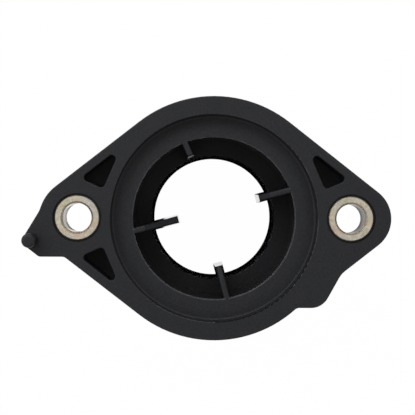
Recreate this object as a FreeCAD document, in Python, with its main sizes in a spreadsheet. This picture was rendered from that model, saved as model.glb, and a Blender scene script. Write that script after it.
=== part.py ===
import FreeCAD
import Part
import Sketcher

import math
import os
from collections import namedtuple
from enum import IntEnum, auto

# Coolant flange of an engine: a moulded two-bolt flange with a hose spigot, and the two steel
# compression sleeves of its bolts. Millimetres. The origin is on the axis of the bore, in the plane
# of the face that meets the engine. Z points out of that face, X to the bolt of the rounded ear,
# and depths are measured down from the face. Angles are in degrees.

SIZES = {
    # widths, from the bore of the spigot out to the edge of the ring
    "spigot_bore_radius": 14.65,
    "bore_step": 3.3,
    "seal_seat_width": 4.7,
    "ring_wall": 4.1,
    # depths, down from the face
    "plate_thickness": 10.0,
    "recess_depth": 3.5,
    "shoulder_depth": 24.4,
    "spigot_depth": 47.5,
    # compression sleeves and their seats
    "sleeve_bore_radius": 3.2,
    "sleeve_wall": 1.67,
    "sleeve_bore_chamfer": 0.4,
    "sleeve_rim_chamfer": 0.15,
    "sleeve_clearance": 0.02,
    "seat_wall": 2.46,
    "relief_width": 0.48,
    "relief_depth": 0.8,
    # rounded ear
    "nose_wall": 2.46,
    "nose_offset": 1.45,
    # ear on the side of the peg
    "shoulder_wall": 4.61,
    "shoulder_inset": 1.05,
    "shoulder_drop": 0.7,
    "ear_hollow_radius": 6.4,
    "lower_flank_wall": 3.64,
    # small ear that carries the locating peg
    "peg_offset": 10.0,
    "peg_drop": 5.0,
    "peg_radius": 1.55,
    "peg_height": 5.0,
    "peg_rounding": 0.7,
    "peg_rim": 0.3,
    "peg_ear_upper_slope": 58.8,
    "peg_ear_lower_slope": 37.45,
    "peg_ear_foot": 3.62,
    "peg_ear_heel_radius": 1.2,
    "peg_ear_joint_radius": 1.5,
    # lug on the flank under the rounded ear
    "lug_rise": 2.69,
    "lug_run": 7.29,
    "lug_corner_radius": 4.2,
    "lug_side_turn": 22.8,
    "lug_hollow_radius": 4.6,
    "lug_joint_radius": 1.4,
    # walls of the barrel and the hose spigot
    "bore_draft": 0.1,
    "barrel_wall": 2.6,
    "barrel_foot_radius": 2.0,
    "cone_drop": 0.8,
    "spigot_wall": 2.3,
    "spigot_lead_in": 0.9,
    "spigot_mouth_chamfer": 0.4,
    "bead_radius": 1.2,
    "bead_height": 0.9,
    "bead_setback": 4.0,
    # ribs that stand in the bore, thicker towards the shoulder: flat, then sloping down over a run
    "rib_angle": 15.0,
    "rib_offset": 1.7,
    "upper_rib_turn": 9.5,
    "upper_rib_offset": 0.97,
    "rib_thickness": 1.4,
    "rib_draft": 0.4,
    "rib_slope": 35.0,
    "rib_edge_radius": 0.45,
    "rib_bite": 1.2,
    "right_rib_flat": 4.9,
    "right_rib_run": 2.18,
    "left_rib_flat": 2.65,
    "left_rib_run": 7.52,
    "upper_rib_flat": 2.95,
    "upper_rib_run": 0.4,
    "lower_rib_flat": 4.25,
    "lower_rib_run": 3.08,
    "bore_rim_radius": 0.3,
    # blind triangular pockets
    "pocket_floor": 3.0,
    "pocket_flank_wall": 1.95,
    "pocket_recess_wall": 2.2,
    "pocket_seat_wall": 3.26,
    "pocket_recess_side": 66.8,
    "pocket_bolt_side": 23.9,
    "pocket_corner_radius": 0.85,
    # rounded edges of the moulding
    "face_edge_radius": 0.25,
    "back_edge_radius": 0.8,
}

# Sizes that follow from others, as expressions in the sheet.
BORE = "(sizes.spigot_bore_radius + sizes.bore_step)"
RECESS = f"({BORE} + sizes.seal_seat_width)"
RING = f"({RECESS} + sizes.ring_wall)"
BARREL = f"({BORE} + sizes.barrel_wall)"
SPIGOT = "(sizes.spigot_bore_radius + sizes.spigot_wall)"
SLEEVE = "(sizes.sleeve_bore_radius + sizes.sleeve_wall)"
SEAT = f"({SLEEVE} + sizes.sleeve_clearance)"
RELIEF = f"({SEAT} + sizes.relief_width)"
BOLT_X = f"({RECESS} + sizes.seat_wall + {SEAT})"
NOSE = f"({SEAT} + sizes.nose_wall)"
NOSE_X = f"({BOLT_X} + sizes.nose_offset)"
SHOULDER = f"({SEAT} + sizes.shoulder_wall)"
PEG_X = f"(-{BOLT_X} - sizes.peg_offset)"
PEG_EAR = "(sizes.peg_radius + sizes.peg_rim)"
RIGHT_SLOPE = f"asin(({RING} - {NOSE}) / {NOSE_X})"
LEFT_SLOPE = f"asin(({RING} - {SEAT} - sizes.lower_flank_wall) / {BOLT_X})"
LUG_REACH = f"({RING} + sizes.lug_rise - sizes.lug_corner_radius)"
LUG_X = f"({LUG_REACH} * sin({RIGHT_SLOPE}) + sizes.lug_run * cos({RIGHT_SLOPE}))"
LUG_Y = f"(sizes.lug_run * sin({RIGHT_SLOPE}) - {LUG_REACH} * cos({RIGHT_SLOPE}))"

ORIGIN_POINT = (-1, 1)
X_AXIS = -1
Y_AXIS = X_AXIS - 1
UP = FreeCAD.Vector(0, 0, 1)
NEAR = 1e-4


class Spot(IntEnum):
    """The point of a line or an arc that a constraint takes."""

    START = auto()
    END = auto()
    CENTRE = auto()


# A straight side of an outline: its outward unit normal and its distance from the origin.
Flank = namedtuple("Flank", "normal offset")

# A round of an outline. A hollow one curves into the material.
Round = namedtuple("Round", "centre radius hollow")


def fill_sheet(document):
    """Puts the driving dimensions into a spreadsheet, one aliased cell each."""
    sheet = document.addObject("Spreadsheet::Sheet", "sizes")
    for row, (alias, amount) in enumerate(SIZES.items(), start=1):
        sheet.set(f"A{row}", alias)
        sheet.set(f"B{row}", str(amount))
        sheet.setAlias(f"B{row}", alias)
    document.recompute()
    return sheet


def value(body, expression):
    """Works out an expression in the sheet's dimensions as a plain number."""
    result = body.evalExpression(expression)
    return float(getattr(result, "Value", result))


def origin_feature(body, role):
    """Finds one of the body's own origin planes or axes."""
    return next(feature for feature in body.Origin.OriginFeatures if feature.Role == role)


def below(slope):
    """Gives the unit normal on the lower side of a line that climbs to the right at a slope."""
    angle = math.radians(slope)
    return FreeCAD.Vector(math.sin(angle), -math.cos(angle), 0)


def foot(flank, point):
    """Drops a point onto a flank."""
    return point + flank.normal * (flank.offset - flank.normal.dot(point))


def touching(bend, normal):
    """Gives the flank with a normal that touches a round."""
    return Flank(normal, normal.dot(bend.centre) + bend.radius)


def flank_past_round(ring, bend):
    """Gives the flank above the origin that touches the ring and a smaller round beside it."""
    towards = FreeCAD.Vector(bend.centre).normalize()
    across = UP.cross(towards)
    if across.y < 0:
        across = -across
    share = (ring.radius - bend.radius) / bend.centre.Length
    return Flank(towards * share + across * math.sqrt(1 - share ** 2), ring.radius)


def round_between(first, second, radius, hollow=False):
    """Gives the round that joins two crossing flanks."""
    reach = radius if hollow else -radius
    a, b = first.normal, second.normal
    p, q = first.offset + reach, second.offset + reach
    cross = a.x * b.y - a.y * b.x
    centre = FreeCAD.Vector((p * b.y - q * a.y) / cross, (q * a.x - p * b.x) / cross, 0)
    return Round(centre, radius, hollow)


def hollow_after(big_round, flank, radius):
    """Gives the hollow that touches a round from outside and runs on into the next flank."""
    along = UP.cross(flank.normal)
    across = flank.offset + radius - flank.normal.dot(big_round.centre)
    ahead = math.sqrt((big_round.radius + radius) ** 2 - across ** 2)
    return Round(big_round.centre + flank.normal * across + along * ahead, radius, True)


class Drawing:
    """A sketch on one of its body's origin planes, dimensioned by expressions in the sheet."""

    def __init__(self, body, name, plane):
        self.body = body
        self.sketch = body.newObject("Sketcher::SketchObject", name)
        self.sketch.AttachmentSupport = (origin_feature(body, plane), [""])
        self.sketch.MapMode = "FlatFace"

    def constrain(self, kind, *references):
        """Adds a constraint that has no size."""
        self.sketch.addConstraint(Sketcher.Constraint(kind, *references))

    def dimension(self, name, expression, kind, *references):
        """Adds a dimension whose size follows an expression."""
        amount = value(self.body, expression)
        if kind == "Angle":
            amount = math.radians(amount)
        index = self.sketch.addConstraint(Sketcher.Constraint(kind, *references, amount))
        self.sketch.renameConstraint(index, name)
        self.sketch.setExpression(f"Constraints.{name}", expression)

    def place(self, name, across, up, geometry, position=Spot.CENTRE):
        """Dimensions a point from the origin. An empty expression puts it on that axis."""
        if across:
            self.span(f"{name}_across", across, "DistanceX", geometry, position)
        else:
            self.constrain("PointOnObject", geometry, position, Y_AXIS)
        if up:
            self.span(f"{name}_up", up, "DistanceY", geometry, position)
        else:
            self.constrain("PointOnObject", geometry, position, X_AXIS)

    def span(self, name, expression, kind, geometry, position):
        """Dimensions one coordinate of a point, measured towards its own side of the origin."""
        if value(self.body, expression) < 0:
            self.dimension(name, f"-({expression})", kind, geometry, position, *ORIGIN_POINT)
        else:
            self.dimension(name, expression, kind, *ORIGIN_POINT, geometry, position)

    def circle(self, name, radius, across, up=""):
        """Draws a circle from the expressions of its radius and centre."""
        centre = FreeCAD.Vector(value(self.body, across), value(self.body, up) if up else 0, 0)
        geometry = self.sketch.addGeometry(Part.Circle(centre, UP, value(self.body, radius)))
        self.dimension(f"{name}_radius", radius, "Radius", geometry)
        self.place(name, across, up, geometry)
        return geometry

    def polygon(self, corners):
        """Draws a closed polygon whose corners are pairs of expressions, empty ones on an axis."""
        points = [
            FreeCAD.Vector(*(value(self.body, part) if part else 0 for part in corner), 0)
            for corner in corners
        ]
        first = self.sketch.GeometryCount
        count = len(points)
        for number, point in enumerate(points):
            self.sketch.addGeometry(Part.LineSegment(point, points[(number + 1) % count]))
        for number, (across, up) in enumerate(corners):
            following = first + (number + 1) % count
            self.constrain("Coincident", first + number, Spot.END, following, Spot.START)
            if across or up:
                self.place(f"corner{first + number}", across, up, first + number, Spot.START)
            else:
                self.constrain("Coincident", first + number, Spot.START, *ORIGIN_POINT)

    def outline(self, chain):
        """Draws rounds joined by tangent flanks, from pairs of a round and the flank after it.

        Where the flank is None, two rounds touch each other. The outline runs anticlockwise.
        Returns the numbers of the rounds and of the flanks in the sketch.
        """
        count = len(chain)
        joints = []
        for number, (bend, flank) in enumerate(chain):
            following = chain[(number + 1) % count][0]
            if flank is None:
                step = following.centre - bend.centre
                touch = bend.centre + step * (bend.radius / (bend.radius + following.radius))
                joints.append((touch, touch))
            else:
                joints.append((foot(flank, bend.centre), foot(flank, following.centre)))
        rounds, flanks, ends = [], [], []
        for number, (bend, flank) in enumerate(chain):
            entry, leave = joints[number - 1][1], joints[number][0]
            arc_ends = (leave, entry) if bend.hollow else (entry, leave)
            angles = [math.atan2(*(point - bend.centre)[1::-1]) for point in arc_ends]
            circle = Part.Circle(bend.centre, UP, bend.radius)
            rounds.append(self.sketch.addGeometry(Part.ArcOfCircle(circle, *angles)))
            spots = (Spot.END, Spot.START) if bend.hollow else (Spot.START, Spot.END)
            ends.append((rounds[-1], *spots))
            if flank is None:
                flanks.append(None)
            else:
                flanks.append(self.sketch.addGeometry(Part.LineSegment(*joints[number])))
                ends.append((flanks[-1], Spot.START, Spot.END))
        for this, following in zip(ends, ends[1:] + ends[:1]):
            self.constrain("Tangent", this[0], this[2], following[0], following[1])
        return rounds, flanks


def add_feature(body, kind, name, profile, **settings):
    """Adds a feature of the body that uses a sketch."""
    feature = body.newObject(f"PartDesign::{kind}", name)
    feature.Profile = profile
    for setting, amount in settings.items():
        setattr(feature, setting, amount)
    return feature


def drive(feature, **expressions):
    """Ties the sizes of a feature to expressions."""
    for size, expression in expressions.items():
        feature.setExpression(size, expression)


def finish(body, feature, removes):
    """Recomputes and checks that a feature added or removed material, as it should."""
    before = 0 if body.Shape.isNull() else body.Shape.Volume
    body.Document.recompute()
    change = body.Shape.Volume - before
    if (change < 0) != removes or abs(change) < NEAR:
        raise ValueError(f"{feature.Name} changed the volume by {change:.3f}")
    return feature


def turned(body, name, corners, removes=False):
    """Revolves a profile of radius and height about the axis of the bore."""
    drawing = Drawing(body, f"{name}_profile", "XZ_Plane")
    drawing.polygon(corners)
    kind = "Groove" if removes else "Revolution"
    feature = add_feature(body, kind, name, drawing.sketch)
    feature.ReferenceAxis = (drawing.sketch, ["V_Axis"])
    return finish(body, feature, removes)


def rounded(body, name, radius, wanted):
    """Rounds each edge of the body's last feature that a test picks out."""
    base = body.Tip
    edges = [f"Edge{number}" for number, edge in enumerate(base.Shape.Edges, start=1) if wanted(edge)]
    if not edges:
        raise ValueError(f"{name} found no edges")
    fillet = body.newObject("PartDesign::Fillet", name)
    fillet.Base = (base, edges)
    drive(fillet, Radius=radius)
    body.Document.recompute()
    return fillet


def lies_at(edge, height):
    """Tells whether a whole edge lies at one height."""
    box = edge.BoundBox
    return abs(box.ZMin - height) < NEAR and abs(box.ZMax - height) < NEAR


def reach(edge, samples=9):
    """Gives the least and the greatest distance of an edge's points from the axis of the bore."""
    points = edge.discretize(samples)
    distances = [math.hypot(point.x, point.y) for point in points]
    return min(distances), max(distances)


def draw_plate_outline(body):
    """Draws the outline of the flange: ring, rounded ear, ear with the peg, and lug."""

    def size(expression):
        return value(body, expression)

    def bend(across, up, radius):
        centre = FreeCAD.Vector(size(across), size(up), 0)
        return Round(centre, size(radius), False)

    drawing = Drawing(body, "plate_outline", "XY_Plane")
    shoulder_x = f"sizes.shoulder_inset - {BOLT_X}"
    ring = Round(FreeCAD.Vector(0, 0, 0), size(RING), False)
    nose = Round(FreeCAD.Vector(size(NOSE_X), 0, 0), size(NOSE), False)
    shoulder = bend(shoulder_x, "-sizes.shoulder_drop", SHOULDER)
    peg_tip = bend(PEG_X, "-sizes.peg_drop", PEG_EAR)
    lug_corner = bend(LUG_X, LUG_Y, "sizes.lug_corner_radius")

    upper_right = flank_past_round(ring, nose)
    upper_left = flank_past_round(ring, shoulder)
    lower_right = Flank(below(size(RIGHT_SLOPE)), ring.radius)
    lower_left = Flank(below(-size(LEFT_SLOPE)), ring.radius)
    peg_ear_upper = touching(peg_tip, -below(size("sizes.peg_ear_upper_slope")))
    peg_ear_lower = touching(peg_tip, below(-size("sizes.peg_ear_lower_slope")))
    peg_ear_base = Flank(below(0), size("sizes.peg_drop + sizes.peg_ear_foot"))
    lug_base = touching(lug_corner, below(0))
    lug_side_slope = f"{RIGHT_SLOPE} + sizes.lug_side_turn * 1 deg"
    lug_side = touching(lug_corner, below(size(lug_side_slope)))

    ear_hollow = hollow_after(shoulder, peg_ear_upper, size("sizes.ear_hollow_radius"))
    heel = round_between(peg_ear_lower, peg_ear_base, size("sizes.peg_ear_heel_radius"))
    ear_joint = round_between(peg_ear_base, lower_left, size("sizes.peg_ear_joint_radius"), hollow=True)
    lug_joint = hollow_after(ring, lug_base, size("sizes.lug_joint_radius"))
    lug_hollow = round_between(lug_side, lower_right, size("sizes.lug_hollow_radius"), hollow=True)

    rounds, flanks = drawing.outline([
        (nose, upper_right),
        (ring, upper_left),
        (shoulder, None),
        (ear_hollow, peg_ear_upper),
        (peg_tip, peg_ear_lower),
        (heel, peg_ear_base),
        (ear_joint, lower_left),
        (ring, None),
        (lug_joint, lug_base),
        (lug_corner, lug_side),
        (lug_hollow, lower_right),
    ])
    radii = {
        "nose": NOSE,
        "ring": RING,
        "shoulder": SHOULDER,
        "ear_hollow": "sizes.ear_hollow_radius",
        "peg_tip": PEG_EAR,
        "heel": "sizes.peg_ear_heel_radius",
        "ear_joint": "sizes.peg_ear_joint_radius",
        "lower_ring": RING,
        "lug_joint": "sizes.lug_joint_radius",
        "lug_corner": "sizes.lug_corner_radius",
        "lug_hollow": "sizes.lug_hollow_radius",
    }
    for (name, radius), geometry in zip(radii.items(), rounds):
        drawing.dimension(f"{name}_radius", radius, "Radius", geometry)
    numbers = dict(zip(radii, rounds))
    lines = dict(zip(radii, flanks))

    drawing.place("nose", NOSE_X, "", numbers["nose"])
    drawing.constrain("Coincident", numbers["ring"], Spot.CENTRE, *ORIGIN_POINT)
    drawing.constrain("Coincident", numbers["lower_ring"], Spot.CENTRE, *ORIGIN_POINT)
    drawing.place("shoulder", shoulder_x, "-sizes.shoulder_drop", numbers["shoulder"])
    drawing.place("peg", PEG_X, "-sizes.peg_drop", numbers["peg_tip"])
    drawing.place("lug_corner", LUG_X, LUG_Y, numbers["lug_corner"])

    peg_ear_depth = "-sizes.peg_drop - sizes.peg_ear_foot"
    drawing.constrain("Horizontal", lines["heel"])
    drawing.span("peg_ear_depth", peg_ear_depth, "DistanceY", lines["heel"], Spot.START)
    drawing.constrain("Horizontal", lines["lug_joint"])
    drawing.dimension("right_slope", RIGHT_SLOPE, "Angle", lines["lug_hollow"])
    drawing.dimension("left_slope", f"-{LEFT_SLOPE}", "Angle", lines["ear_joint"])
    drawing.dimension("ear_upper_slope", "sizes.peg_ear_upper_slope - 180", "Angle", lines["ear_hollow"])
    drawing.dimension("ear_lower_slope", "-sizes.peg_ear_lower_slope", "Angle", lines["peg_tip"])
    drawing.dimension("lug_side_slope", lug_side_slope, "Angle", lines["lug_corner"])
    return drawing.sketch


def build_plate(body):
    """Makes the plate of the flange, from its face down."""
    outline = draw_plate_outline(body)
    plate = add_feature(body, "Pad", "plate", outline, Reversed=True)
    drive(plate, Length="sizes.plate_thickness")
    finish(body, plate, removes=False)


def build_spigot(body):
    """Adds the barrel behind the plate, the cone, and the hose spigot with its bead."""
    cone_top = "-sizes.shoulder_depth - sizes.cone_drop"
    cone_foot = f"{cone_top} - {BARREL} + {SPIGOT}"
    turned(body, "barrel_and_spigot", [
        ("", "-sizes.plate_thickness"),
        (BARREL, "-sizes.plate_thickness"),
        (BARREL, cone_top),
        (SPIGOT, cone_foot),
        (SPIGOT, "sizes.spigot_lead_in - sizes.spigot_depth"),
        (f"{SPIGOT} - sizes.spigot_lead_in", "-sizes.spigot_depth"),
        ("", "-sizes.spigot_depth"),
    ])
    drawing = Drawing(body, "bead_profile", "XZ_Plane")
    centre_radius = f"{SPIGOT} + sizes.bead_height - sizes.bead_radius"
    drawing.circle("bead", "sizes.bead_radius", centre_radius, "sizes.bead_setback - sizes.spigot_depth")
    bead = add_feature(body, "Revolution", "hose_bead", drawing.sketch)
    bead.ReferenceAxis = (drawing.sketch, ["V_Axis"])
    finish(body, bead, removes=False)


def build_bore(body):
    """Cuts the seal recess, the bore down to its shoulder, and the way through the spigot."""
    turned(body, "recess_and_bore", [
        ("", ""),
        (RECESS, ""),
        (RECESS, "-sizes.recess_depth"),
        (BORE, "-sizes.recess_depth"),
        (f"{BORE} - sizes.bore_draft", "-sizes.shoulder_depth"),
        ("sizes.spigot_bore_radius", "-sizes.shoulder_depth"),
        ("sizes.spigot_bore_radius", "sizes.spigot_mouth_chamfer - sizes.spigot_depth"),
        ("sizes.spigot_bore_radius + sizes.spigot_mouth_chamfer", "-sizes.spigot_depth"),
        ("", "-sizes.spigot_depth"),
    ], removes=True)


def stand_in_bore(drawing, angle, across, ahead):
    """Turns a drawing on an upright plane about the axis of the bore, then moves it."""
    turn = FreeCAD.Rotation(FreeCAD.Vector(0, 1, 0), value(drawing.body, angle))
    drawing.sketch.AttachmentOffset = FreeCAD.Placement(FreeCAD.Vector(0, 0, 0), turn)
    drawing.sketch.setExpression("AttachmentOffset.Rotation.Angle", angle)
    drawing.sketch.setExpression("AttachmentOffset.Base.x", across)
    drawing.sketch.setExpression("AttachmentOffset.Base.z", ahead)


def build_rib(body, rib, angle, offset):
    """Adds one rib that points away from the axis at an angle, in a plane beside the axis.

    Its section is drawn at the tip and padded into the wall of the bore. Then the front is cut to
    slope down from the knee to the tip.
    """
    floor, shoulder = "-sizes.recess_depth", "-sizes.shoulder_depth"
    knee = f"({BORE} - sizes.{rib}_rib_flat)"
    tip = f"({knee} - sizes.{rib}_rib_run)"
    past_tip = f"{tip} - sizes.rib_bite"
    half = "sizes.rib_thickness / 2"

    section = Drawing(body, f"{rib}_rib_section", "YZ_Plane")
    stand_in_bore(
        section, angle,
        f"{tip} * sin({angle}) + {offset} * cos({angle})",
        f"{tip} * cos({angle}) - {offset} * sin({angle})",
    )
    section.polygon([
        (f"-({half})", floor),
        (half, floor),
        (f"{half} + sizes.rib_draft", shoulder),
        (f"-({half}) - sizes.rib_draft", shoulder),
    ])
    pad = add_feature(body, "Pad", f"{rib}_rib", section.sketch)
    drive(pad, Length=f"{BORE} + sizes.rib_bite - {tip}")
    finish(body, pad, removes=False)

    front = Drawing(body, f"{rib}_rib_front", "XZ_Plane")
    stand_in_bore(front, angle, f"-sin({angle}) * {offset}", f"-cos({angle}) * {offset}")
    front.polygon([
        (knee, floor),
        (past_tip, floor),
        (past_tip, f"{floor} - ({knee} - ({past_tip})) * tan(sizes.rib_slope)"),
    ])
    slope = add_feature(body, "Pocket", f"{rib}_rib_slope", front.sketch, SideType="Symmetric")
    drive(slope, Length="2 * sizes.rib_thickness")
    finish(body, slope, removes=True)


def build_ribs(body):
    """Adds two ribs in one plane beside the axis, a lower one square to it, and an upper one."""
    ribs = {
        "right": ("(sizes.rib_angle)", "sizes.rib_offset"),
        "upper": ("(sizes.rib_angle + sizes.upper_rib_turn + 90)", "(-sizes.upper_rib_offset)"),
        "left": ("(sizes.rib_angle + 180)", "(-sizes.rib_offset)"),
        "lower": ("(sizes.rib_angle + 270)", "(-sizes.rib_offset)"),
    }
    for rib, (angle, offset) in ribs.items():
        build_rib(body, rib, angle, offset)
    round_ribs(body)


def round_ribs(body):
    """Rounds the front edges of the ribs, along both sides and across the tips."""
    floor, shoulder = (-value(body, f"sizes.{depth}") for depth in ("recess_depth", "shoulder_depth"))
    bore = value(body, BORE)
    thickness = value(body, "sizes.rib_thickness")

    def is_front_edge(edge):
        box = edge.BoundBox
        nearest, furthest = reach(edge)
        in_bore = nearest < bore - NEAR and furthest < bore + NEAR
        in_front = box.ZMin > shoulder + NEAR and box.ZMax < floor + NEAR
        knee = lies_at(edge, floor) and abs(edge.Length - thickness) < NEAR
        return in_bore and in_front and not knee

    rounded(body, "rib_rounding", "sizes.rib_edge_radius", is_front_edge)


def build_pockets(body):
    """Cuts three blind triangular pockets: one, its mirror on the other ear, and the one below it."""
    drawing = Drawing(body, "pocket_outline", "XY_Plane")
    sides = {
        "flank": (
            f"{RIGHT_SLOPE} - 180 deg",
            f"{RING} - sizes.pocket_flank_wall",
        ),
        "bolt": (
            "-sizes.pocket_bolt_side",
            f"{BOLT_X} * sin(sizes.pocket_bolt_side) - {SEAT} - sizes.pocket_seat_wall",
        ),
        "recess": (
            "sizes.pocket_recess_side",
            f"-{RECESS} - sizes.pocket_recess_wall",
        ),
    }
    walls = [Flank(below(value(body, run)), value(body, offset)) for run, offset in sides.values()]
    radius = value(body, "sizes.pocket_corner_radius")
    chain = [
        (round_between(walls[number - 1], wall, radius), wall)
        for number, wall in enumerate(walls)
    ]
    rounds, flanks = drawing.outline(chain)
    for (name, (run, offset)), corner, side in zip(sides.items(), rounds, flanks):
        drawing.dimension(f"{name}_corner", "sizes.pocket_corner_radius", "Radius", corner)
        drawing.dimension(f"{name}_run", run, "Angle", side)
        distance = offset if value(body, offset) > 0 else f"-({offset})"
        drawing.dimension(f"{name}_distance", distance, "Distance", *ORIGIN_POINT, side)
    pocket = add_feature(body, "Pocket", "left_upper_pocket", drawing.sketch)
    drive(pocket, Length="sizes.plate_thickness - sizes.pocket_floor")
    finish(body, pocket, removes=True)
    for name, plane in (("right_pocket", "YZ_Plane"), ("left_lower_pocket", "XZ_Plane")):
        mirrored = body.newObject("PartDesign::Mirrored", name)
        mirrored.Originals = [pocket]
        mirrored.MirrorPlane = (origin_feature(body, plane), [""])
        body.Tip = mirrored
        finish(body, mirrored, removes=True)


def cut_discs(body, name, radius, **settings):
    """Cuts a round hole or relief about each bolt axis."""
    drawing = Drawing(body, f"{name}_outline", "XY_Plane")
    for side, word in ((-1, "left"), (1, "right")):
        drawing.circle(f"{word}_{name}", radius, f"{side} * {BOLT_X}")
    return add_feature(body, "Pocket", name, drawing.sketch, **settings)


def build_sleeve_seats(body):
    """Cuts the holes that hold the sleeves, and the shallow relief round each at the face."""
    seats = cut_discs(body, "sleeve_seats", SEAT)
    drive(seats, Length="sizes.plate_thickness")
    finish(body, seats, removes=True)
    reliefs = cut_discs(body, "sleeve_reliefs", RELIEF)
    drive(reliefs, Length="sizes.relief_depth")
    finish(body, reliefs, removes=True)


def build_peg(body):
    """Adds the round-ended locating peg on the small ear."""
    drawing = Drawing(body, "peg_outline", "XY_Plane")
    drawing.circle("peg", "sizes.peg_radius", PEG_X, "-sizes.peg_drop")
    peg = add_feature(body, "Pad", "locating_peg", drawing.sketch)
    drive(peg, Length="sizes.peg_height")
    finish(body, peg, removes=False)
    top = value(body, "sizes.peg_height")
    rounded(body, "peg_rounding", "sizes.peg_rounding", lambda edge: lies_at(edge, top))


def round_bore_rim(body):
    """Rounds the rim of the bore between the ribs."""
    floor = -value(body, "sizes.recess_depth")
    bore = value(body, BORE)

    def is_rim(edge):
        nearest, furthest = reach(edge)
        return lies_at(edge, floor) and nearest > bore - NEAR and furthest < bore + NEAR

    rounded(body, "bore_rim_rounding", "sizes.bore_rim_radius", is_rim)


def round_plate_edges(body):
    """Rounds the plate's edges, lightly at the engine face and more at the back."""
    back = -value(body, "sizes.plate_thickness")
    barrel = value(body, BARREL)
    relief = value(body, RELIEF)
    bolts = [FreeCAD.Vector(side * value(body, BOLT_X), 0, 0) for side in (-1, 1)]
    peg = FreeCAD.Vector(value(body, PEG_X), -value(body, "sizes.peg_drop"), 0)
    peg_radius = value(body, "sizes.peg_radius")

    def bounds_seat(edge):
        middle = edge.valueAt((edge.FirstParameter + edge.LastParameter) / 2)
        level = FreeCAD.Vector(middle.x, middle.y, 0)
        return any(level.distanceToPoint(bolt) < relief + NEAR for bolt in bolts)

    def bounds_peg(edge, samples=9):
        gaps = [point.distanceToPoint(peg) for point in edge.discretize(samples)]
        return all(abs(gap - peg_radius) < NEAR for gap in gaps)

    def is_barrel_foot(edge):
        return lies_at(edge, back) and abs(reach(edge)[1] - barrel) < NEAR

    def is_back_edge(edge):
        return lies_at(edge, back) and reach(edge)[1] > barrel + NEAR and not bounds_seat(edge)

    def is_face_edge(edge):
        return lies_at(edge, 0) and not bounds_seat(edge) and not bounds_peg(edge)

    rounded(body, "barrel_foot_rounding", "sizes.barrel_foot_radius", is_barrel_foot)
    rounded(body, "back_edge_rounding", "sizes.back_edge_radius", is_back_edge)
    rounded(body, "face_edge_rounding", "sizes.face_edge_radius", is_face_edge)


def build_flange_body(document):
    """Builds the moulding."""
    body = document.addObject("PartDesign::Body", "flange_body")
    build_plate(body)
    build_spigot(body)
    build_bore(body)
    build_ribs(body)
    round_bore_rim(body)
    build_pockets(body)
    build_sleeve_seats(body)
    build_peg(body)
    round_plate_edges(body)
    return body


def build_sleeve(document, name, side):
    """Builds one compression sleeve, a turned steel tube as long as the plate is thick."""
    body = document.addObject("PartDesign::Body", name)
    body.setExpression("Placement.Base.x", f"{side} * {BOLT_X}")
    bore, outer = "sizes.sleeve_bore_radius", SLEEVE
    turned(body, "tube", [
        (f"{bore} + sizes.sleeve_bore_chamfer", ""),
        (bore, "-sizes.sleeve_bore_chamfer"),
        (bore, "sizes.sleeve_bore_chamfer - sizes.plate_thickness"),
        (f"{bore} + sizes.sleeve_bore_chamfer", "-sizes.plate_thickness"),
        (f"{outer} - sizes.sleeve_rim_chamfer", "-sizes.plate_thickness"),
        (outer, "sizes.sleeve_rim_chamfer - sizes.plate_thickness"),
        (outer, "-sizes.sleeve_rim_chamfer"),
        (f"{outer} - sizes.sleeve_rim_chamfer", ""),
    ])
    return body


def check_document(document, bodies):
    """Stops at any failed feature, loose sketch, or sub-part that isn't one valid solid."""
    for item in document.Objects:
        if {"Invalid", "Error"} & set(item.State):
            raise RuntimeError(f"{item.Name} failed: {item.State}")
        if item.isDerivedFrom("Sketcher::SketchObject") and not item.FullyConstrained:
            raise RuntimeError(f"{item.Name} isn't fully constrained")
    for body in bodies:
        shape = body.Shape
        if shape.isNull() or not shape.isValid() or len(shape.Solids) != 1:
            raise RuntimeError(f"{body.Label} isn't one valid solid")


def write_parts(bodies):
    """Writes each sub-part under its own name."""
    os.makedirs("parts", exist_ok=True)
    for body in bodies:
        body.Shape.exportStep(f"parts/{body.Label}.step")
        print(f"{body.Label}: {body.Shape.Volume:.1f} cubic millimetres")


def main():
    """Builds the coolant flange and writes its sub-parts."""
    document = FreeCAD.newDocument("coolant_flange")
    fill_sheet(document)
    bodies = [
        build_flange_body(document),
        build_sleeve(document, "sleeve_left", -1),
        build_sleeve(document, "sleeve_right", 1),
    ]
    document.recompute()
    check_document(document, bodies)
    write_parts(bodies)


main()
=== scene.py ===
"""Coolant flange of an engine: finishes, studio and camera.

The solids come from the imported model, in metres. The origin is on the axis of the bore, in the
plane of the face that meets the engine. Z points out of that face, X to the bolt of the rounded
ear.
"""

import logging
import math
from dataclasses import dataclass, field
from enum import Enum
from typing import Any

import bpy
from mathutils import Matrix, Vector

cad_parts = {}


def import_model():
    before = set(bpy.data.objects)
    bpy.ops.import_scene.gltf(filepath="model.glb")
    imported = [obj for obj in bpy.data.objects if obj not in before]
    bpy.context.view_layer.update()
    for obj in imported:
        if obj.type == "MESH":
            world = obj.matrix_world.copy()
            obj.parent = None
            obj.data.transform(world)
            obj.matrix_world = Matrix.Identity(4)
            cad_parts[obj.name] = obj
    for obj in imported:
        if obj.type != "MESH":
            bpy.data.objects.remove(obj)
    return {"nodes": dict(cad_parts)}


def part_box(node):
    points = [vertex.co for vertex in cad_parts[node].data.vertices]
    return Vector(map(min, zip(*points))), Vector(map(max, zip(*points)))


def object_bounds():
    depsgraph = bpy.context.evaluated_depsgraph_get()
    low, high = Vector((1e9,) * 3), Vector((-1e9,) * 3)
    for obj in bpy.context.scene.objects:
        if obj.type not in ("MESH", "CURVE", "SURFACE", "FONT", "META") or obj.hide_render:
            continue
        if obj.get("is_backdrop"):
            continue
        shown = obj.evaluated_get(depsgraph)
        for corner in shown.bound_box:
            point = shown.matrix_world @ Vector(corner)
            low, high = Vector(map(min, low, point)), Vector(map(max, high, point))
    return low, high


log = logging.getLogger("coolant_flange")

MM = 0.001
WHITE = (1.0, 1.0, 1.0, 1.0)


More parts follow.
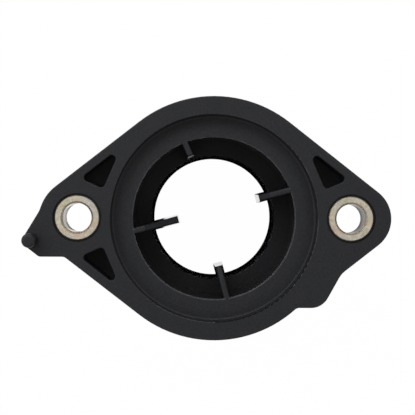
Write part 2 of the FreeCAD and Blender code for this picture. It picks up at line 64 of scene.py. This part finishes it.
def linear(hex_colour: str) -> tuple[float, float, float, float]:
    """Turns an sRGB hex colour into a linear one.

    Args:
        hex_colour: six hex digits after a hash sign.

    Returns:
        Red, green, blue and an alpha of 1.
    """
    knee, low, high, power = 0.04045, 12.92, 1.055, 2.4
    shares = [int(hex_colour[place:place + 2], 16) / 255 for place in (1, 3, 5)]
    curve = [s / low if s <= knee else ((s + high - 1) / high) ** power for s in shares]
    return (curve[0], curve[1], curve[2], 1.0)


def add_node(
    tree: bpy.types.NodeTree,
    kind: str,
    settings: dict[str, Any] | None = None,
    inputs: dict[str | int, Any] | None = None,
) -> bpy.types.Node:
    """Adds a node with its settings and links.

    Args:
        tree: the node tree that takes it.
        kind: the node's type, without its common prefix.
        settings: properties of the node by name.
        inputs: sockets by name or number, each with a value or with the socket that feeds it.

    Returns:
        The new node.
    """
    node = tree.nodes.new(f"ShaderNode{kind}")
    for name, setting in (settings or {}).items():
        setattr(node, name, setting)
    for name, given in (inputs or {}).items():
        if isinstance(given, bpy.types.NodeSocket):
            tree.links.new(given, node.inputs[name])
        else:
            node.inputs[name].default_value = given
    return node


def new_material(name: str) -> bpy.types.Material:
    """Makes an empty material that uses nodes.

    Args:
        name: the material's name.

    Returns:
        The material, with its node tree cleared.
    """
    material = bpy.data.materials.new(name)
    material.use_nodes = True
    material.node_tree.nodes.clear()
    return material


@dataclass(frozen=True)
class HousingZones:
    """Sockets that tell the zones of the housing apart, each from 0 outside the zone to 1 in it.

    The walls are the upright faces, and the polished ones are those of the bore. The painted
    rim highlight lies on the rounded edge of the bore, and the rubbed edges are that rim and the
    edge of the recess. The foot rises across the mould radius where the wall of the recess meets
    its floor.
    """

    wall: bpy.types.NodeSocket
    polished: bpy.types.NodeSocket
    painted_bore_rim_highlight: bpy.types.NodeSocket
    rubbed: bpy.types.NodeSocket
    foot: bpy.types.NodeSocket


@dataclass(frozen=True)
class GlassFilledNylonMoulded:
    """Black nylon with glass fibre, moulded in a spark-eroded tool with a polished core.

    To the eye it is a dull blue-black with a fine even grain, a soft sheen where it turns away,
    and faint cloudy streaks where the fibres came to the skin. Its walls carry light draw marks.
    The rim of the bore carries a painted highlight in a paler colour, the edge of the recess
    shines with it, and the bore is glossy.
    """

    resin: str = "#17181b"
    fibre_bloom: str = "#1f2023"
    # Paler colour painted on the rounded rim of the bore as a highlight.
    bore_rim_highlight_colour: str = "#2e2f33"
    roughness: float = 0.52
    side_roughness: float = 0.42
    rim_roughness: float = 0.2
    core_roughness: float = 0.06
    roughness_spread: float = 0.06
    index: float = 1.53
    shine: float = 0.28

    # The polished core shaped what lies within a radius and below a level. The normal times the
    # place from the axis passes core_facing only on outside faces, such as the spigot's, which
    # stay dull.
    core_radius: float = 18.6 * MM
    core_top: float = -3.2 * MM
    core_facing: float = 12.0 * MM

    # The rubbed edges, whose bore rim also carries a painted highlight, and the mould radius at
    # the foot of the recess's wall.
    rim_from: float = 17.86 * MM
    recess_edge: float = 22.8 * MM
    recess_edge_width: float = 0.25 * MM
    recess_floor: float = -3.6 * MM
    foot_from: float = 22.05 * MM
    foot_to: float = 22.5 * MM
    foot_height: float = 0.09 * MM
    foot_power: float = 2.0

    # Limits on the upright share of a face's normal, which is 1 on a level face and 0 on a wall.
    wall_begins: float = 0.5
    wall_full: float = 0.1
    tilt_full: float = 0.96

    # Clouds of fibre, a few millimetres wide as on mouldings of this kind.
    bloom: float = 4.5 * MM
    bloom_detail: float = 4.0
    bloom_roughness: float = 0.55
    bloom_distortion: float = 1.2
    bloom_begins: float = 0.4
    bloom_full: float = 0.75
    bloom_most: float = 0.22

    # Such a grain is usually about 0.1 mm, too fine for pixels of 0.22 mm, so it is drawn coarser.
    grain: float = 0.42 * MM
    grain_depth: float = 0.02 * MM
    grain_detail: float = 3.0
    grain_roughness: float = 0.65
    grain_contrast: float = 0.5
    core_grain: float = 0.08

    # Most of a noise pattern lies between these two values.
    noise_low: float = 0.3
    noise_high: float = 0.7

    # Draw marks are scratches along the pull, usually under 0.1 mm wide, and are drawn wider too.
    draw_mark: float = 0.5 * MM
    draw_mark_detail: float = 2.0
    draw_mark_stretch: float = 0.06

    def zones(self, tree: bpy.types.NodeTree, place: bpy.types.NodeSocket) -> HousingZones:
        """Tells the housing's zones apart by where a point lies and which way it faces.

        Args:
            tree: the material's nodes.
            place: the point on the housing.

        Returns:
            The zones.
        """
        parts = add_node(tree, "SeparateXYZ", inputs={"Vector": place}).outputs
        flat = add_node(tree, "CombineXYZ", inputs={
            "X": parts["X"], "Y": parts["Y"],
        }).outputs["Vector"]
        radius = add_node(tree, "VectorMath", {"operation": "LENGTH"}, {0: flat}).outputs["Value"]
        normal = add_node(tree, "NewGeometry").outputs["Normal"]
        facing = add_node(tree, "SeparateXYZ", inputs={"Vector": normal}).outputs["Z"]
        level = add_node(tree, "Math", {"operation": "ABSOLUTE"}, {0: facing}).outputs["Value"]
        wall = add_node(tree, "MapRange", inputs={
            "Value": level, "From Min": self.wall_begins, "From Max": self.wall_full,
        }).outputs["Result"]
        tilted = add_node(tree, "MapRange", inputs={
            "Value": level, "From Min": 1.0, "From Max": self.tilt_full,
        }).outputs["Result"]

        outward = add_node(tree, "VectorMath", {"operation": "DOT_PRODUCT"}, {0: normal, 1: flat})
        core = add_node(tree, "Math", {"operation": "LESS_THAN"}, {
            0: radius, 1: self.core_radius,
        }).outputs["Value"]
        for measure, limit in (
            (parts["Z"], self.core_top), (outward.outputs["Value"], self.core_facing),
        ):
            within = add_node(tree, "Math", {"operation": "LESS_THAN"}, {0: measure, 1: limit})
            core = add_node(tree, "Math", {"operation": "MULTIPLY"}, {
                0: core, 1: within.outputs["Value"],
            }).outputs["Value"]
        polished = add_node(tree, "Math", {"operation": "MULTIPLY"}, {
            0: core, 1: wall,
        }).outputs["Value"]

        beyond_ribs = add_node(tree, "Math", {"operation": "GREATER_THAN"}, {
            0: radius, 1: self.rim_from,
        })
        tilted_beyond = add_node(tree, "Math", {"operation": "MULTIPLY"}, {
            0: beyond_ribs.outputs["Value"], 1: tilted,
        })
        bore_rim = add_node(tree, "Math", {"operation": "MULTIPLY"}, {
            0: core, 1: tilted_beyond.outputs["Value"],
        }).outputs["Value"]
        # The rounded rim of the bore, less its polished walls, where a paler highlight is painted.
        painted_bore_rim_highlight = add_node(tree, "Math", {"operation": "SUBTRACT", "use_clamp": True}, {
            0: bore_rim, 1: polished,
        }).outputs["Value"]
        at_recess_edge = add_node(tree, "Math", {"operation": "COMPARE"}, {
            0: radius, 1: self.recess_edge, 2: self.recess_edge_width,
        })
        recess_rim = add_node(tree, "Math", {"operation": "MULTIPLY"}, {
            0: at_recess_edge.outputs["Value"], 1: tilted,
        })
        rubbed = add_node(tree, "Math", {"operation": "MAXIMUM"}, {
            0: bore_rim, 1: recess_rim.outputs["Value"],
        }).outputs["Value"]

        to_foot = add_node(tree, "MapRange", inputs={
            "Value": radius, "From Min": self.foot_from, "From Max": self.foot_to,
        })
        rise = add_node(tree, "Math", {"operation": "POWER"}, {
            0: to_foot.outputs["Result"], 1: self.foot_power,
        })
        in_recess = add_node(tree, "Math", {"operation": "GREATER_THAN"}, {
            0: parts["Z"], 1: self.recess_floor,
        })
        foot = add_node(tree, "Math", {"operation": "MULTIPLY"}, {
            0: rise.outputs["Value"], 1: in_recess.outputs["Value"],
        }).outputs["Value"]
        return HousingZones(wall, polished, painted_bore_rim_highlight, rubbed, foot)

    def colour(
        self,
        tree: bpy.types.NodeTree,
        zones: HousingZones,
        bloom: bpy.types.NodeSocket,
        grain: bpy.types.NodeSocket,
    ) -> bpy.types.NodeSocket:
        """Colours the resin, with its clouds of fibre, a painted highlight on the bore's rim and
        its speckle.

        Args:
            tree: the material's nodes.
            zones: the housing's zones.
            bloom: the pattern of the clouds.
            grain: the pattern of the grain.

        Returns:
            The base colour.
        """
        cloud = add_node(tree, "MapRange", inputs={
            "Value": bloom, "From Min": self.bloom_begins, "From Max": self.bloom_full,
            "To Max": self.bloom_most,
        })
        tint = add_node(tree, "Mix", {"data_type": "RGBA"}, {
            "Factor": cloud.outputs["Result"], "A": linear(self.resin),
            "B": linear(self.fibre_bloom),
        })
        # Paints a paler highlight on the rounded rim of the bore.
        rim_highlighted_tint = add_node(tree, "Mix", {"data_type": "RGBA"}, {
            "Factor": zones.painted_bore_rim_highlight, "A": tint.outputs["Result"], "B": linear(self.bore_rim_highlight_colour),
        })
        speckle = add_node(tree, "MapRange", inputs={
            "Value": grain, "From Min": self.noise_low, "From Max": self.noise_high,
            "To Min": 1 - self.grain_contrast, "To Max": 1 + self.grain_contrast,
        })
        return add_node(tree, "VectorMath", {"operation": "SCALE"}, {
            0: rim_highlighted_tint.outputs["Result"], "Scale": speckle.outputs["Result"],
        }).outputs["Vector"]

    def sheen(
        self, tree: bpy.types.NodeTree, zones: HousingZones, bloom: bpy.types.NodeSocket
    ) -> bpy.types.NodeSocket:
        """Makes the walls, the rubbed edges and the bore shinier, and lets the sheen drift.

        Args:
            tree: the material's nodes.
            zones: the housing's zones.
            bloom: the pattern of the clouds.

        Returns:
            The roughness.
        """
        sheen: float | bpy.types.NodeSocket = self.roughness
        for zone, roughness in (
            (zones.wall, self.side_roughness),
            (zones.rubbed, self.rim_roughness),
            (zones.polished, self.core_roughness),
        ):
            sheen = add_node(tree, "MapRange", inputs={
                "Value": zone, "To Min": sheen, "To Max": roughness,
            }).outputs["Result"]
        drift = add_node(tree, "MapRange", inputs={
            "Value": bloom, "From Min": self.noise_low, "From Max": self.noise_high,
            "To Min": -self.roughness_spread / 2, "To Max": self.roughness_spread / 2,
        })
        return add_node(tree, "Math", {"operation": "ADD"}, {
            0: sheen, 1: drift.outputs["Result"],
        }).outputs["Value"]

    def relief(
        self,
        tree: bpy.types.NodeTree,
        zones: HousingZones,
        place: bpy.types.NodeSocket,
        grain: bpy.types.NodeSocket,
    ) -> bpy.types.NodeSocket:
        """Raises the foot of the recess's wall, the grain and the draw marks of the walls.

        Args:
            tree: the material's nodes.
            zones: the housing's zones.
            place: the point on the housing.
            grain: the pattern of the grain.

        Returns:
            The normal.
        """
        stretched = add_node(tree, "Mapping", inputs={
            "Vector": place, "Scale": (1.0, 1.0, self.draw_mark_stretch),
        })
        marks = add_node(tree, "TexNoise", inputs={
            "Vector": stretched.outputs["Vector"], "Scale": 1 / self.draw_mark,
            "Detail": self.draw_mark_detail,
        })
        wall_marks = add_node(tree, "Math", {"operation": "MULTIPLY"}, {
            0: marks.outputs["Fac"], 1: zones.wall,
        })
        strength = add_node(tree, "MapRange", inputs={
            "Value": zones.polished, "To Min": 1.0, "To Max": self.core_grain,
        })
        normal = add_node(tree, "Bump", inputs={
            "Height": zones.foot, "Distance": self.foot_height,
        }).outputs["Normal"]
        for height in (grain, wall_marks.outputs["Value"]):
            normal = add_node(tree, "Bump", inputs={
                "Height": height, "Distance": self.grain_depth,
                "Strength": strength.outputs["Result"], "Normal": normal,
            }).outputs["Normal"]
        return normal

    def material(self) -> bpy.types.Material:
        """Builds the material.

        Returns:
            The material.
        """
        material = new_material("glass_filled_nylon_moulded")
        tree = material.node_tree
        place = add_node(tree, "TexCoord").outputs["Object"]
        bloom = add_node(tree, "TexNoise", inputs={
            "Vector": place, "Scale": 1 / self.bloom, "Detail": self.bloom_detail,
            "Roughness": self.bloom_roughness, "Distortion": self.bloom_distortion,
        }).outputs["Fac"]
        grain = add_node(tree, "TexNoise", inputs={
            "Vector": place, "Scale": 1 / self.grain, "Detail": self.grain_detail,
            "Roughness": self.grain_roughness,
        }).outputs["Fac"]
        zones = self.zones(tree, place)
        shader = add_node(tree, "BsdfPrincipled", inputs={
            "Base Color": self.colour(tree, zones, bloom, grain),
            "Roughness": self.sheen(tree, zones, bloom),
            "IOR": self.index, "Specular IOR Level": self.shine,
            "Normal": self.relief(tree, zones, place, grain),
        })
        add_node(tree, "OutputMaterial", inputs={"Surface": shader.outputs["BSDF"]})
        return material


@dataclass(frozen=True)
class SleevePlaces:
    """Sockets that say where a point of a sleeve lies.

    They give the point itself, its distance from the sleeve's axis, 1 in the bore and 0
    elsewhere, and how far the lathe tool has fed when it comes there.
    """

    place: bpy.types.NodeSocket
    radius: bpy.types.NodeSocket
    in_bore: bpy.types.NodeSocket
    path: bpy.types.NodeSocket


@dataclass(frozen=True)
class ZincPlatedSteelTurned:
    """Turned mild steel, zinc-plated and passivated.

    To the eye it is a pale warm silver whose thin passivation film drifts from pink and straw to
    olive, over the fine rings that the lathe tool left on the ends. The rim carries a painted
    highlight in a paler colour, and the bore is brighter, with the broad bands of a drill.
    """

    # The film's colours, each with its place in the film's pattern: pink, straw, silver, olive.
    film_colours: tuple[tuple[float, str], ...] = (
        (0.34, "#ead3be"), (0.46, "#e8dabf"), (0.55, "#e0dacb"), (0.66, "#d9d2b2"),
    )
    film: float = 5.5 * MM
    film_detail: float = 1.5
    film_distortion: float = 0.4
    # Paler colour painted on the sleeve's outer rim as a highlight.
    sleeve_rim_highlight_colour: str = "#f0ece4"
    rim_radius: float = 4.7 * MM
    rim_edge: float = 0.1 * MM
    bore_radius: float = 3.3 * MM

    roughness: float = 0.34
    bore_roughness: float = 0.05
    scuff: float = 0.7 * MM
    scuff_detail: float = 4.0
    scuff_low: float = 0.3
    scuff_high: float = 0.7
    smoother: float = 0.06
    rougher: float = 0.08

    # A finishing cut usually feeds about 0.1 mm a turn, drawn a little coarser so that it shows.
    feed: float = 0.16 * MM
    feed_depth: float = 0.0022 * MM
    wander: float = 2.5 * MM
    wander_detail: float = 2.0

    # A drill's marks are usually finer than a pixel, and are drawn as the bands they blur to.
    bore_ring: float = 1.6 * MM
    bore_ring_depth: float = 0.02 * MM
    bore_ring_detail: float = 1.0

    def places(self, tree: bpy.types.NodeTree, axis_x: float) -> SleevePlaces:
        """Finds where a point lies on the sleeve and on the path of the lathe tool.

        Args:
            tree: the material's nodes.
            axis_x: the X of the sleeve's axis, in metres.

        Returns:
            The sleeve's places.
        """
        place = add_node(tree, "TexCoord").outputs["Object"]
        centred = add_node(tree, "VectorMath", {"operation": "SUBTRACT"}, {
            0: place, 1: (axis_x, 0.0, 0.0),
        }).outputs["Vector"]
        parts = add_node(tree, "SeparateXYZ", inputs={"Vector": centred}).outputs
        flat = add_node(tree, "CombineXYZ", inputs={
            "X": parts["X"], "Y": parts["Y"],
        }).outputs["Vector"]
        radius = add_node(tree, "VectorMath", {"operation": "LENGTH"}, {0: flat}).outputs["Value"]
        in_bore = add_node(tree, "Math", {"operation": "LESS_THAN"}, {
            0: radius, 1: self.bore_radius,
        }).outputs["Value"]
        wander = add_node(tree, "TexNoise", inputs={
            "Vector": centred, "Scale": 1 / self.wander, "Detail": self.wander_detail,
        })
        drift = add_node(tree, "Math", {"operation": "MULTIPLY"}, {
            0: wander.outputs["Fac"], 1: self.feed,
        })
        straight_path = add_node(tree, "Math", {"operation": "ADD"}, {0: radius, 1: parts["Z"]})
        path = add_node(tree, "Math", {"operation": "ADD"}, {
            0: straight_path.outputs["Value"], 1: drift.outputs["Value"],
        }).outputs["Value"]
        return SleevePlaces(place, radius, in_bore, path)

    def colour(self, tree: bpy.types.NodeTree, places: SleevePlaces) -> bpy.types.NodeSocket:
        """Colours the passivation film and paints a paler highlight on the rim.

        Args:
            tree: the material's nodes.
            places: the sleeve's places.

        Returns:
            The base colour.
        """
        film = add_node(tree, "TexNoise", inputs={
            "Vector": places.place, "Scale": 1 / self.film, "Detail": self.film_detail,
            "Distortion": self.film_distortion,
        })
        tint = add_node(tree, "ValToRGB", inputs={"Fac": film.outputs["Fac"]})
        stops = tint.color_ramp.elements
        stops[0].position, stops[1].position = self.film_colours[0][0], self.film_colours[-1][0]
        for position, _ in self.film_colours[1:-1]:
            stops.new(position)
        for stop, (_, colour) in zip(stops, self.film_colours):
            stop.color = linear(colour)
        # Paints the paler highlight on the outer rim of the sleeve.
        rim = add_node(tree, "MapRange", inputs={
            "Value": places.radius, "From Min": self.rim_radius,
            "From Max": self.rim_radius + self.rim_edge,
        })
        return add_node(tree, "Mix", {"data_type": "RGBA"}, {
            "Factor": rim.outputs["Result"], "A": tint.outputs["Color"], "B": linear(self.sleeve_rim_highlight_colour),
        }).outputs["Result"]

    def sheen(self, tree: bpy.types.NodeTree, places: SleevePlaces) -> bpy.types.NodeSocket:
        """Scuffs the ends and makes the bore bright.

        Args:
            tree: the material's nodes.
            places: the sleeve's places.

        Returns:
            The roughness.
        """
        scuffs = add_node(tree, "TexNoise", inputs={
            "Vector": places.place, "Scale": 1 / self.scuff, "Detail": self.scuff_detail,
        })
        scuffed = add_node(tree, "MapRange", inputs={
            "Value": scuffs.outputs["Fac"], "From Min": self.scuff_low,
            "From Max": self.scuff_high, "To Min": self.roughness - self.smoother,
            "To Max": self.roughness + self.rougher,
        })
        return add_node(tree, "MapRange", inputs={
            "Value": places.in_bore, "To Min": scuffed.outputs["Result"],
            "To Max": self.bore_roughness,
        }).outputs["Result"]

    def relief(self, tree: bpy.types.NodeTree, places: SleevePlaces) -> bpy.types.NodeSocket:
        """Cuts the rings of the lathe tool into the ends and the bands of the drill into the bore.

        Args:
            tree: the material's nodes.
            places: the sleeve's places.

        Returns:
            The normal.
        """
        turns = add_node(tree, "Math", {"operation": "MULTIPLY"}, {
            0: places.path, 1: 2 * math.pi / self.feed,
        })
        rings = add_node(tree, "Math", {"operation": "SINE"}, {0: turns.outputs["Value"]})
        outside_bore = add_node(tree, "Math", {"operation": "SUBTRACT"}, {
            0: 1.0, 1: places.in_bore,
        })
        turned = add_node(tree, "Bump", inputs={
            "Height": rings.outputs["Value"], "Distance": self.feed_depth,
            "Strength": outside_bore.outputs["Value"],
        })
        bands = add_node(tree, "TexNoise", {"noise_dimensions": "1D"}, {
            "W": places.path, "Scale": 1 / self.bore_ring, "Detail": self.bore_ring_detail,
        })
        return add_node(tree, "Bump", inputs={
            "Height": bands.outputs["Fac"], "Distance": self.bore_ring_depth,
            "Strength": places.in_bore, "Normal": turned.outputs["Normal"],
        }).outputs["Normal"]

    def material(self, name: str, axis_x: float) -> bpy.types.Material:
        """Builds the material of one sleeve.

        Args:
            name: the material's name.
            axis_x: the X of the sleeve's axis, in metres.

        Returns:
            The material.
        """
        material = new_material(name)
        tree = material.node_tree
        places = self.places(tree, axis_x)
        shader = add_node(tree, "BsdfPrincipled", inputs={
            "Base Color": self.colour(tree, places), "Metallic": 1.0,
            "Roughness": self.sheen(tree, places), "Normal": self.relief(tree, places),
        })
        add_node(tree, "OutputMaterial", inputs={"Surface": shader.outputs["BSDF"]})
        return material


@dataclass
class Moulding:
    """The moulded housing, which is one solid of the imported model."""

    node: str = "flange_body"
    finish: GlassFilledNylonMoulded = field(default_factory=GlassFilledNylonMoulded)

    def dress(self, nodes: dict[str, bpy.types.Object]) -> bpy.types.Object:
        """Gives the housing its finish.

        Args:
            nodes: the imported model's objects by node.

        Returns:
            The dressed object.
        """
        housing = nodes[self.node]
        for slot in housing.material_slots:
            slot.material = self.finish.material()
        return housing


@dataclass
class CompressionSleeve:
    """One compression sleeve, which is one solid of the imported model."""

    node: str
    finish: ZincPlatedSteelTurned = field(default_factory=ZincPlatedSteelTurned)

    def dress(self, nodes: dict[str, bpy.types.Object]) -> bpy.types.Object:
        """Gives the sleeve its finish, centred on the sleeve's own axis.

        Args:
            nodes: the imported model's objects by node.

        Returns:
            The dressed object.
        """
        low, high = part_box(self.node)
        axis_x = (low[0] + high[0]) / 2
        sleeve = nodes[self.node]
        for slot in sleeve.material_slots:
            slot.material = self.finish.material(f"zinc_plated_steel_turned_{self.node}", axis_x)
        return sleeve


class Direction(Enum):
    """Where a lamp stands round the part, as a bearing from +X and a height, in degrees."""

    TOP_LEFT = (150.0, 45.0)
    TOP = (95.0, 47.0)
    TOP_RIGHT = (45.0, 45.0)
    BOTTOM_RIGHT = (-25.0, 45.0)
    BOTTOM_LEFT = (230.0, 45.0)


@dataclass(frozen=True)
class Lamp:
    """A soft rectangular lamp, level along its width. Its sizes and distance are in metres."""

    name: str
    direction: Direction
    width: float
    depth: float
    distance: float
    watts: float

    def build(self, target: Vector) -> bpy.types.Object:
        """Makes the lamp, turned to the part.

        Args:
            target: the point it shines at.

        Returns:
            The lamp.
        """
        bearing, height = (math.radians(angle) for angle in self.direction.value)
        away = Vector((
            math.cos(bearing) * math.cos(height), math.sin(bearing) * math.cos(height),
            math.sin(height),
        ))
        data = bpy.data.lights.new(self.name, "AREA")
        data.shape = "RECTANGLE"
        data.size = self.width
        data.size_y = self.depth
        data.energy = self.watts
        lamp = bpy.data.objects.new(self.name, data)
        lamp.location = target + away * self.distance
        lamp.rotation_euler = away.to_track_quat("Z", "Y").to_euler()
        bpy.context.scene.collection.objects.link(lamp)
        return lamp


@dataclass(frozen=True)
class SleeveGlow:
    """The light that the polished bore of one sleeve mirrors from under the part.

    It is a ring on the floor, dark inside its inner edge, with a brightness that runs from the
    inner edge to the outer one.
    """

    centre_x: float
    inner: float
    outer: float
    inner_light: float
    outer_light: float
    edge: float = 0.05 * MM

    def add(self, tree: bpy.types.NodeTree, level: bpy.types.NodeSocket) -> bpy.types.NodeSocket:
        """Adds the ring to a material.

        Args:
            tree: the material's nodes.
            level: the place on the floor.

        Returns:
            The ring's brightness, which is zero off the ring.
        """
        distance = add_node(tree, "VectorMath", {"operation": "DISTANCE"}, {
            0: level, 1: (self.centre_x, 0.0, 0.0),
        }).outputs["Value"]
        start = add_node(tree, "MapRange", {"interpolation_type": "SMOOTHSTEP"}, {
            "Value": distance, "From Min": self.inner - self.edge,
            "From Max": self.inner + self.edge,
        })
        end = add_node(tree, "MapRange", {"interpolation_type": "SMOOTHSTEP"}, {
            "Value": distance, "From Min": self.outer + self.edge,
            "From Max": self.outer - self.edge,
        })
        on_ring = add_node(tree, "Math", {"operation": "MULTIPLY"}, {
            0: start.outputs["Result"], 1: end.outputs["Result"],
        })
        light = add_node(tree, "MapRange", inputs={
            "Value": distance, "From Min": self.inner, "From Max": self.outer,
            "To Min": self.inner_light, "To Max": self.outer_light,
        })
        return add_node(tree, "Math", {"operation": "MULTIPLY"}, {
            0: on_ring.outputs["Value"], 1: light.outputs["Result"],
        }).outputs["Value"]


@dataclass
class Studio:
    """Pale floor, white surroundings and soft lamps.

    The floor is white to the camera. The polished bores mirror it as white below the opening,
    dark under the part and white again beyond it, with a ring of light under each sleeve.
    """

    floor_width: float = 3.0
    floor_colour: str = "#f4f4f4"
    glow: float = 0.99
    sky_overhead: float = 0.42
    sky_low: float = 0.2
    shade_from: float = 12.0 * MM
    shade_to: float = 13.0 * MM
    clear_from: float = 22.0 * MM
    clear_to: float = 60.0 * MM
    sleeve_glows: tuple[SleeveGlow, ...] = (
        SleeveGlow(-31.2 * MM, 2.3 * MM, 3.3 * MM, 0.85, 0.7),
        SleeveGlow(31.2 * MM, 3.15 * MM, 4.6 * MM, 0.25, 0.55),
    )
    lamps: tuple[Lamp, ...] = (
        Lamp("top_left_lamp", Direction.TOP_LEFT, 0.66, 0.26, 0.6, 1.6),
        Lamp("top_lamp", Direction.TOP, 0.62, 0.24, 0.6, 1.3),
        Lamp("top_right_lamp", Direction.TOP_RIGHT, 0.3, 0.3, 0.6, 0.4),
        Lamp("bottom_right_lamp", Direction.BOTTOM_RIGHT, 0.3, 0.3, 0.6, 0.4),
        Lamp("bottom_left_lamp", Direction.BOTTOM_LEFT, 0.3, 0.3, 0.6, 0.3),
    )

    def mirrored_light(self, tree: bpy.types.NodeTree) -> bpy.types.NodeSocket:
        """Draws the light and shade on the floor that the polished bores mirror.

        Args:
            tree: the floor material's nodes.

        Returns:
            The floor's brightness in a mirror.
        """
        place = add_node(tree, "TexCoord").outputs["Object"]
        level = add_node(tree, "VectorMath", {"operation": "MULTIPLY"}, {
            0: place, 1: (1.0, 1.0, 0.0),
        }).outputs["Vector"]
        radius = add_node(tree, "VectorMath", {"operation": "LENGTH"}, {0: level}).outputs["Value"]
        inside = add_node(tree, "MapRange", {"interpolation_type": "SMOOTHSTEP"}, {
            "Value": radius, "From Min": self.shade_from, "From Max": self.shade_to,
            "To Min": 1.0, "To Max": 0.0,
        })
        outside = add_node(tree, "MapRange", {"interpolation_type": "SMOOTHSTEP"}, {
            "Value": radius, "From Min": self.clear_from, "From Max": self.clear_to,
        })
        lit = add_node(tree, "Math", {"operation": "ADD"}, {
            0: inside.outputs["Result"], 1: outside.outputs["Result"],
        }).outputs["Value"]
        for glow in self.sleeve_glows:
            lit = add_node(tree, "Math", {"operation": "MAXIMUM"}, {
                0: lit, 1: glow.add(tree, level),
            }).outputs["Value"]
        return lit

    def floor_material(self) -> bpy.types.Material:
        """Makes a matt white floor that shows as white behind the part and keeps its shadow.

        Returns:
            The material.
        """
        material = new_material("studio_floor_paper")
        tree = material.node_tree
        ray = add_node(tree, "LightPath").outputs
        lit = self.mirrored_light(tree)
        reflected = add_node(tree, "Math", {"operation": "MAXIMUM"}, {
            0: ray["Is Glossy Ray"], 1: ray["Is Transmission Ray"],
        })
        seen = add_node(tree, "Math", {"operation": "MAXIMUM"}, {
            0: ray["Is Camera Ray"], 1: reflected.outputs["Value"],
        })
        share = add_node(tree, "Math", {"operation": "MULTIPLY"}, {
            0: seen.outputs["Value"], 1: self.glow,
        })
        brightness = add_node(tree, "Math", {"operation": "MAXIMUM"}, {
            0: ray["Is Camera Ray"], 1: lit,
        })
        paper = add_node(tree, "BsdfDiffuse", inputs={"Color": linear(self.floor_colour)})
        white = add_node(tree, "Emission", inputs={"Strength": brightness.outputs["Value"]})
        mixed = add_node(tree, "MixShader", inputs={
            0: share.outputs["Value"], 1: paper.outputs["BSDF"], 2: white.outputs["Emission"],
        })
        add_node(tree, "OutputMaterial", inputs={"Surface": mixed.outputs["Shader"]})
        return material

    def build_floor(self, height: float) -> bpy.types.Object:
        """Lays the floor.

        Args:
            height: the Z of the surface that the part stands on.

        Returns:
            The floor.
        """
        half = self.floor_width / 2
        corners = [
            (x * half, y * half, height) for x, y in ((-1, -1), (1, -1), (1, 1), (-1, 1))
        ]
        mesh = bpy.data.meshes.new("studio_floor")
        mesh.from_pydata(corners, [], [(0, 1, 2, 3)])
        mesh.materials.append(self.floor_material())
        floor = bpy.data.objects.new("studio_floor", mesh)
        bpy.context.scene.collection.objects.link(floor)
        floor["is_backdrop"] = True
        return floor

    def build_surroundings(self) -> bpy.types.World:
        """Sets the world: white to the camera and a softer white to everything that it lights.

        Returns:
            The world.
        """
        world = bpy.data.worlds.new("studio_white")
        world.use_nodes = True
        tree = world.node_tree
        tree.nodes.clear()
        ray = add_node(tree, "LightPath")
        aim = add_node(tree, "SeparateXYZ", inputs={
            "Vector": add_node(tree, "TexCoord").outputs["Generated"],
        })
        sky = add_node(tree, "MapRange", inputs={
            "Value": aim.outputs["Z"], "To Min": self.sky_low, "To Max": self.sky_overhead,
        })
        strength = add_node(tree, "MapRange", inputs={
            "Value": ray.outputs["Is Camera Ray"], "To Min": sky.outputs["Result"], "To Max": 1.0,
        })
        white = add_node(tree, "Background", inputs={
            "Color": WHITE, "Strength": strength.outputs["Result"],
        })
        add_node(tree, "OutputWorld", inputs={"Surface": white.outputs["Background"]})
        bpy.context.scene.world = world
        return world

    def build(self, floor_height: float) -> None:
        """Builds the floor, the surroundings and the lamps.

        Args:
            floor_height: the Z of the surface that the part stands on.
        """
        self.build_floor(floor_height)
        self.build_surroundings()
        for lamp in self.lamps:
            lamp.build(Vector((0.0, 0.0, 0.0)))


@dataclass(frozen=True)
class PhotoCamera:
    """The camera of the photograph: straight above the face, a little off the bore's axis.

    The roll is in degrees, and the shifts are shares of the picture's width.
    """

    height: float = 282.0 * MM
    foot_x: float = -3.305 * MM
    foot_y: float = 2.430 * MM
    roll: float = 0.284
    lens_mm: float = 111.88
    sensor_mm: float = 36.0
    shift_x: float = 0.0205
    shift_y: float = -0.0012
    nearest: float = 0.01
    furthest: float = 20.0

    def build(self) -> bpy.types.Object:
        """Makes the camera and sets it as the scene's own.

        Returns:
            The camera.
        """
        data = bpy.data.cameras.new("photo_camera")
        data.lens = self.lens_mm
        data.sensor_width = self.sensor_mm
        data.shift_x = self.shift_x
        data.shift_y = self.shift_y
        data.clip_start = self.nearest
        data.clip_end = self.furthest
        camera = bpy.data.objects.new("photo_camera", data)
        camera.location = (self.foot_x, self.foot_y, self.height)
        camera.rotation_euler = (0.0, 0.0, math.radians(self.roll))
        bpy.context.scene.collection.objects.link(camera)
        bpy.context.scene.camera = camera
        return camera


def main() -> None:
    """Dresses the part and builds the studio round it."""
    logging.basicConfig(level=logging.INFO, format="%(name)s: %(message)s")
    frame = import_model()
    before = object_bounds()
    assemblies = (Moulding(), CompressionSleeve("sleeve_left"), CompressionSleeve("sleeve_right"))
    for assembly in assemblies:
        piece = assembly.dress(frame["nodes"])
        log.info("dressed %s", piece.name)
    floor_height = before[0][2]
    Studio().build(floor_height)
    PhotoCamera().build()
    bpy.context.scene.view_settings.view_transform = "Standard"


if __name__ == "__main__":
    main()
